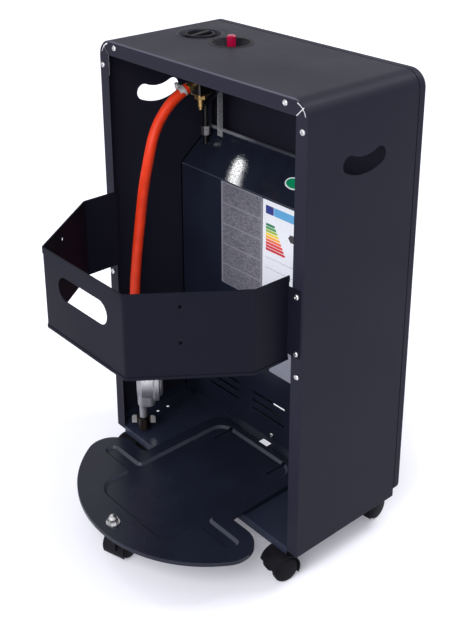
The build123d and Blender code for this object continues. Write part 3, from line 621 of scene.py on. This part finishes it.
class HEATER_OT_stage(HeaterOperator, bpy.types.Operator):
    """Pale floor, soft studio light and the camera"""

    bl_idname = "heater.stage"
    bl_label = "Stage"

    def execute(self, context):
        stage = context.scene.heater_stage
        context.scene.view_settings.view_transform = "Standard"
        self.add_floor(stage)
        self.add_world(context.scene, stage)
        self.add_softbox("back_softbox", at(-620, -1000, 1750), at(*BAY_MIDDLE), 0.6, stage.top_light)
        self.add_softbox("side_softbox", at(1607, 441, 1913), at(*GRIP_SLOT), 0.18, stage.side_light)
        self.add_softbox("fill_softbox", at(-700, 1500, 1300), at(*BAY_MIDDLE), 1.4, stage.fill_light)
        self.add_camera(context.scene)
        return {"FINISHED"}

    def add_floor(self, stage):
        deselect()
        bpy.ops.mesh.primitive_plane_add(size=14.0, location=(0, 0, 0))
        floor = bpy.context.object
        floor.name = "studio_floor"
        finish = Finish("floor_paper", Specular_IOR_Level=0.1, Roughness=0.8)
        finish.set("Base Color", stage.floor_colour)
        x, y = finish.axis("X"), finish.axis("Y")
        away = (x * x + y * y).maths("SQRT", 0.0)
        # painted shade: the glow is weaker close to the cabinet, darkening the floor under and around it
        lift = finish.remap(away, 0.1, 0.9, 0.16, 0.46) + finish.remap(away, 0.9, 3.0, 0.0, 0.25)
        glow = finish.node("ShaderNodeEmission", {}, Color=(0.92, 0.915, 1.0), Strength=lift)
        ray = finish.tree.nodes.new("ShaderNodeLightPath").outputs
        seen = Value(finish, ray["Is Camera Ray"])
        for other in ("Is Glossy Ray", "Is Transmission Ray"):
            seen = seen.maths("MAXIMUM", Value(finish, ray[other]))
        lifted = finish.node("ShaderNodeAddShader", {}, Value(finish, finish.shader.outputs[0]), glow)
        mixed = finish.node("ShaderNodeMixShader", {}, seen, Value(finish, finish.shader.outputs[0]), lifted)
        finish.tree.links.new(mixed.socket, finish.output.inputs["Surface"])
        floor.data.materials.append(finish.material)

    def add_world(self, scene, stage):
        world = bpy.data.worlds.new("studio")
        scene.world = world
        world.use_nodes = True
        tree = world.node_tree
        tree.nodes.clear()
        output = tree.nodes.new("ShaderNodeOutputWorld")
        mix = tree.nodes.new("ShaderNodeMixShader")
        ray = tree.nodes.new("ShaderNodeLightPath")
        light = tree.nodes.new("ShaderNodeBackground")
        light.inputs["Color"].default_value = (0.96, 0.97, 1.0, 1.0)
        toward = tree.nodes.new("ShaderNodeVectorMath")
        toward.operation = "DOT_PRODUCT"
        toward.inputs[1].default_value = (-1.0, 0.0, 0.0)
        level = tree.nodes.new("ShaderNodeMapRange")
        for index, value in enumerate((-0.3, 0.7, stage.surround, stage.dark_side)):
            level.inputs[index + 1].default_value = value
        tree.links.new(tree.nodes.new("ShaderNodeTexCoord").outputs["Generated"], toward.inputs[0])
        tree.links.new(toward.outputs["Value"], level.inputs[0])
        tree.links.new(level.outputs[0], light.inputs["Strength"])
        white = tree.nodes.new("ShaderNodeBackground")
        white.inputs["Color"].default_value = (1.0, 1.0, 1.0, 1.0)
        seen = ray.outputs["Is Camera Ray"]
        for other in ("Is Glossy Ray", "Is Transmission Ray"):
            either = tree.nodes.new("ShaderNodeMath")
            either.operation = "MAXIMUM"
            tree.links.new(seen, either.inputs[0])
            tree.links.new(ray.outputs[other], either.inputs[1])
            seen = either.outputs[0]
        tree.links.new(seen, mix.inputs["Fac"])
        tree.links.new(light.outputs[0], mix.inputs[1])
        tree.links.new(white.outputs[0], mix.inputs[2])
        tree.links.new(mix.outputs[0], output.inputs["Surface"])

    def add_softbox(self, name, place, target, size, power):
        deselect()
        bpy.ops.object.light_add(type="AREA", location=place)
        lamp = bpy.context.object
        lamp.name = name
        lamp.data.shape = "RECTANGLE"
        lamp.data.size = size
        lamp.data.size_y = size * 0.8
        lamp.data.energy = power
        lamp.rotation_euler = (target - place).to_track_quat("-Z", "Y").to_euler()

    def add_camera(self, scene):
        deselect()
        azimuth, elevation, roll = (math.radians(value) for value in CAMERA_ANGLES)
        back = Vector((
            math.sin(azimuth) * math.cos(elevation),
            -math.cos(azimuth) * math.cos(elevation),
            math.sin(elevation),
        ))
        bpy.ops.object.camera_add(location=at(*CAMERA_FOCUS) + back * CAMERA_DISTANCE)
        camera = bpy.context.object
        camera.name = "photo_camera"
        camera.data.sensor_width = SENSOR_WIDTH
        camera.data.lens = FOCAL_LENGTH * SENSOR_WIDTH / PICTURE_HEIGHT
        camera.data.shift_y = (AXIS_ROW - PICTURE_HEIGHT / 2) / PICTURE_HEIGHT
        turn = (-back).to_track_quat("-Z", "Y").to_matrix().to_4x4() @ Matrix.Rotation(roll, 4, "Z")
        camera.matrix_world = Matrix.Translation(camera.location) @ turn
        scene.camera = camera


class HEATER_OT_gas_hose(HeaterOperator, bpy.types.Operator):
    """Orange gas hose on its smooth route from the valve to the regulator"""

    bl_idname = "heater.gas_hose"
    bl_label = "Gas hose"

    def execute(self, context):
        data = bpy.data.curves.new("hose", "CURVE")
        data.dimensions = "3D"
        data.bevel_depth = 0.008
        data.bevel_resolution = 8
        data.resolution_u = 16
        data.use_fill_caps = True
        spline = data.splines.new("NURBS")
        spline.points.add(len(HOSE_ROUTE) - 1)
        for point, place in zip(spline.points, HOSE_ROUTE):
            point.co = (*at(*place), 1.0)
        spline.order_u = 3
        spline.use_endpoint_u = True
        hose = bpy.data.objects.new("hose", data)
        context.scene.collection.objects.link(hose)
        data.materials.append(material("hose"))
        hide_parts("gas_hose")
        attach(hose, "cabinet")
        return {"FINISHED"}


class HEATER_OT_sheet_finishes(HeaterOperator, bpy.types.Operator):
    """Paint and enamel on the sheet-metal nodes"""

    bl_idname = "heater.sheet_finishes"
    bl_label = "Sheet metal finishes"

    def execute(self, context):
        finish_node("cabinet_shell", "shell_coat", edge=0.0004)
        for name in ("front_frame", "front_louvre_panel"):
            finish_node(name, "powder_coat", edge=0.0004)
        finish_node("retaining_band", "band_coat", edge=0.0004)
        finish_node("back_plate", "enamel_plate", edge=0.0004)
        finish_node("base_plate", "enamel_base_painted_light", edge=0.0003)
        finish_node("bottle_tray", "enamel_tray", edge=0.0005)
        return {"FINISHED"}


class HEATER_OT_fitting_finishes(HeaterOperator, bpy.types.Operator):
    """Metal, ceramic and plastic on the remaining nodes"""

    bl_idname = "heater.fitting_finishes"
    bl_label = "Fitting finishes"

    FINISHES = {
        "bright_zinc": ("corner_gusset_left", "corner_gusset_right", "hose_clamp_valve"),
        "zinc": ("tray_nut", "guard_grille", "hose_clamp_regulator"),
        "passivated_zinc": ("valve_strut",),
        "steel": ("valve_spindle", "spindle_collar", "burner_body", "pilot_assembly"),
        "brass": ("injector", "hose_tail"),
        "valve": ("valve_body",),
        "pipe": ("feed_pipe",),
        "reflector": ("reflector",),
        "ceramic": ("ceramic_plaque_1", "ceramic_plaque_2", "ceramic_plaque_3"),
        "black_plastic": ("igniter_body",),
        "bezel_plastic": ("knob_bezel",),
        "dish_plastic": ("control_knob", "igniter_well"),
        "red_plastic": ("igniter_button",),
        "casting": ("regulator_body", "regulator_bonnet"),
        "dark_nut": ("union_nut",),
    }

    def execute(self, context):
        for finish, names in self.FINISHES.items():
            for name in names:
                finish_node(name, finish)
        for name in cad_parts:
            if name.startswith("castor_"):
                finish_node(name, "zinc" if name.endswith("mount") else "castor_plastic")
        return {"FINISHED"}


class HEATER_OT_screws(HeaterOperator, bpy.types.Operator):
    """Cross-head pan screws on the rear flanges, band leaves and back plate"""

    bl_idname = "heater.screws"
    bl_label = "Screws"

    def execute(self, context):
        head = self.pan_head(self.details.screw_radius, self.details.screw_height)
        leaf_y = FLANGE_FACE_Y + 1.2
        places = []
        for side in (-1, 1):
            places += [(side * 172.7, FLANGE_FACE_Y, 642.3), (side * 202.3, FLANGE_FACE_Y, 613)]
            places += [(side * 199.5, leaf_y, 397.9), (side * 200.5, leaf_y, 317.5)]
            places += [(side * 201.8, FLANGE_FACE_Y, 283.7)]
        for number, place in enumerate(places):
            screw = copy_of(head, "screw")
            seat(screw, at(*place), (0, 1, 0), spin=0.5 + 0.9 * number)
            dress(screw, f"flange_screw_{number + 1}", "cabinet", "zinc")
        screw = copy_of(head, "screw")
        seat(screw, at(-9, PLATE_FACE_Y, 28), (0, 1, 0), spin=0.0)
        dress(screw, "plate_screw", "cabinet", "zinc")
        bpy.data.objects.remove(head)
        return {"FINISHED"}

    def pan_head(self, radius, height):
        """A domed head with a cross recess, drawn on z = 0."""
        deselect()
        bpy.ops.mesh.primitive_cylinder_add(vertices=32, radius=radius, depth=height,
                                            location=(0, 0, height / 2))
        head = bpy.context.object
        bpy.ops.object.transform_apply(location=True)
        edit(head, edges=lambda a, b: a.z > height * 0.9 and b.z > height * 0.9)
        bpy.ops.mesh.bevel(offset=radius * 0.42, segments=5)
        leave_edit()
        for turn in (0.0, math.pi / 2):
            deselect()
            bpy.ops.mesh.primitive_cube_add(size=1.0, location=(0, 0, height), rotation=(0, 0, turn))
            blade = bpy.context.object
            blade.scale = (radius * 1.1, radius * 0.26, height * 0.9)
            bpy.ops.object.transform_apply(scale=True, rotation=True, location=True)
            deselect()
            bpy.context.view_layer.objects.active = head
            head.select_set(True)
            apply_modifier(head, "BOOLEAN", operation="DIFFERENCE", object=blade, solver="EXACT")
            bpy.data.objects.remove(blade)
        return head


class HEATER_OT_plates(HeaterOperator, bpy.types.Operator):
    """Bare data plates, a plain banded plate and a green oval on the back plate"""

    bl_idname = "heater.plates"
    bl_label = "Plates"

    BAR_COLOURS = (
        (0.0, 0.19, 0.075), (0.045, 0.30, 0.06), (0.33, 0.50, 0.03), (0.85, 0.66, 0.02), (0.90, 0.42, 0.02),
        (0.80, 0.14, 0.035), (0.70, 0.03, 0.025), (0.62, 0.012, 0.02), (0.55, 0.008, 0.018),
    )

    def execute(self, context):
        self.sheet("data_plate_upper", 17.5, 110, 254, 425, 0, "data_plate")
        self.sheet("data_plate_lower", -95, -1.5, 141, 228, 0, "label_lilac")
        self.sheet("banded_plate", -98, 16.5, 231, 424.5, 0, "label_white")
        self.sheet("banded_header_square", -6.6, 10, 403.5, 416.5, 1, "label_navy")
        self.sheet("banded_header_bar", -60, -7.4, 403.5, 416.5, 1, "label_sky")
        for row, colour in enumerate(self.BAR_COLOURS):
            name = f"banded_bar_{row + 1}"
            MATERIALS[name] = printed_film(name, colour)
            top = 388.0 - 4.9 * row
            self.sheet(name, 9.2 - 17.5 - 2.75 * row, 9.2, top - 3.9, top, 1, name, pointed=True)
        self.sheet("banded_marker", -72, -42, 373, 385, 1, "label_black", pointed=True, flip=True)
        for row, z in enumerate((333.0, 316.0, 268.0)):
            self.sheet(f"banded_rule_{row + 1}", -92, 9.2, z, z + 0.6, 1, "label_rule")
        for row in range(3):
            self.sheet(f"lower_rule_{row + 1}", -92, -6, 147 + 7 * row, 149.5 + 7 * row, 1, "label_rule")
        self.oval()
        return {"FINISHED"}

    def sheet(self, name, x0, x1, z0, z1, layer, finish, pointed=False, flip=False):
        """Thin plate stuck on the back plate, seen from the rear; pointed ends taper towards -X."""
        deselect()
        bpy.ops.mesh.primitive_plane_add(size=1.0)
        plate = bpy.context.object
        width, height = (x1 - x0) / 1000, (z1 - z0) / 1000
        plate.scale = (width, height, 1)
        bpy.ops.object.transform_apply(scale=True)
        if pointed:
            tip = width / 2 if not flip else -width / 2
            edit(plate, edges=lambda a, b: abs(a.x - tip) < 1e-7 and abs(b.x - tip) < 1e-7)
            bpy.ops.mesh.subdivide(number_cuts=1)
            leave_edit()
            edit(plate, vertices=lambda v: abs(v.x - tip) < 1e-7 and abs(v.y) < 1e-7)
            bpy.ops.transform.translate(value=(height * 0.38 * (-1 if flip else 1), 0, 0))
            leave_edit()
        elif min(width, height) > 0.004:
            edit(plate, vertices=lambda v: True)
            bpy.ops.mesh.bevel(offset=0.0012, segments=4, affect="VERTICES")
            leave_edit()
        thickness = self.details.plate_thickness
        apply_modifier(plate, "SOLIDIFY", thickness=thickness, offset=1.0)
        turn = Matrix(((-1, 0, 0, 0), (0, 0, 1, 0), (0, 1, 0, 0), (0, 0, 0, 1)))
        place = at((x0 + x1) / 2, PLATE_FACE_Y, (z0 + z1) / 2) + Vector((0, layer * thickness, 0))
        plate.matrix_world = Matrix.Translation(place) @ turn
        bpy.ops.object.transform_apply(location=True, rotation=True, scale=True)
        dress(plate, name, "cabinet", finish)

    def oval(self):
        """Plain green oval with a pale rim on the sloping hood."""
        normal = Vector((0, math.sin(HOOD_SLOPE), math.cos(HOOD_SLOPE)))
        y = -70.5
        centre = at(-19, y, CREASE_Z + (CREASE_Y - y) * math.tan(HOOD_SLOPE)) + normal * 0.0008
        face_scale = 0.88
        rim = (0.0175, 0.0102)
        face = (rim[0] * face_scale, rim[1] * face_scale - 0.0008)
        for name, size, lift, finish in (("oval_rim", rim, 0, "label_white"), ("oval_face", face, 1, "label_green")):
            deselect()
            bpy.ops.mesh.primitive_circle_add(vertices=64, radius=1.0, fill_type="NGON")
            oval = bpy.context.object
            oval.scale = (*size, 1)
            bpy.ops.object.transform_apply(scale=True)
            thickness = self.details.plate_thickness
            apply_modifier(oval, "SOLIDIFY", thickness=thickness, offset=1.0)
            across = Vector((1, 0, 0))
            up = normal.cross(across)
            turn = Matrix((across, up, normal)).transposed().to_4x4()
            oval.matrix_world = Matrix.Translation(centre + normal * thickness * lift) @ turn
            bpy.ops.object.transform_apply(location=True, rotation=True, scale=True)
            dress(oval, name, "cabinet", finish)


class HEATER_OT_knob_marks(HeaterOperator, bpy.types.Operator):
    """Plain setting arcs pressed round the knob's dish"""

    bl_idname = "heater.knob_marks"
    bl_label = "Knob marks"

    def execute(self, context):
        for number, (radius, start, end) in enumerate(((0.0415, 8, 90), (0.0372, 44, 96))):
            deselect()
            bpy.ops.mesh.primitive_circle_add(vertices=180, radius=radius)
            arc = bpy.context.object
            low, high = math.radians(start), math.radians(end)
            edit(arc, vertices=lambda v: not low <= math.atan2(v.y, v.x) <= high)
            bpy.ops.mesh.delete(type="VERT")
            bpy.ops.mesh.select_all(action="SELECT")
            factor = 1 + self.details.mark_width / radius
            bpy.ops.mesh.extrude_edges_move()
            bpy.ops.transform.resize(value=(factor, factor, 1), center_override=(0, 0, 0))
            bpy.ops.mesh.select_all(action="SELECT")
            bpy.ops.mesh.normals_make_consistent(inside=False)
            leave_edit()
            apply_modifier(arc, "SOLIDIFY", thickness=0.00012, offset=0.0)
            seat(arc, at(*KNOB_MARKS))
            dress(arc, f"setting_arc_{number + 1}", "cabinet", "dish_plastic")
        return {"FINISHED"}


class HEATER_PT_panel(bpy.types.Panel):
    """Pieces and settings of the heater"""

    bl_label = "Heater"
    bl_idname = "HEATER_PT_panel"
    bl_space_type = "VIEW_3D"
    bl_region_type = "UI"
    bl_category = "Heater"

    def draw(self, context):
        for operator in OPERATORS:
            self.layout.operator(operator.bl_idname)
        for group in (context.scene.heater_finish, context.scene.heater_details, context.scene.heater_stage):
            box = self.layout.box()
            for name in group.__annotations__:
                box.prop(group, name)


OPERATORS = (
    HEATER_OT_stage,
    HEATER_OT_gas_hose,
    HEATER_OT_sheet_finishes,
    HEATER_OT_fitting_finishes,
    HEATER_OT_screws,
    HEATER_OT_plates,
    HEATER_OT_knob_marks,
)
SETTINGS = (HeaterFinishSettings, HeaterDetailSettings, HeaterStageSettings)


def register():
    for cls in SETTINGS + OPERATORS + (HEATER_PT_panel,):
        bpy.utils.register_class(cls)
    bpy.types.Scene.heater_finish = bpy.props.PointerProperty(type=HeaterFinishSettings)
    bpy.types.Scene.heater_details = bpy.props.PointerProperty(type=HeaterDetailSettings)
    bpy.types.Scene.heater_stage = bpy.props.PointerProperty(type=HeaterStageSettings)


def unregister():
    del bpy.types.Scene.heater_finish
    del bpy.types.Scene.heater_details
    del bpy.types.Scene.heater_stage
    for cls in reversed(SETTINGS + OPERATORS + (HEATER_PT_panel,)):
        bpy.utils.unregister_class(cls)


def main():
    register()
    bpy.ops.heater.stage()
    bpy.ops.heater.gas_hose()
    bpy.ops.heater.sheet_finishes()
    bpy.ops.heater.fitting_finishes()
    bpy.ops.heater.screws()
    bpy.ops.heater.plates()
    bpy.ops.heater.knob_marks()


if __name__ == "__main__":
    main()
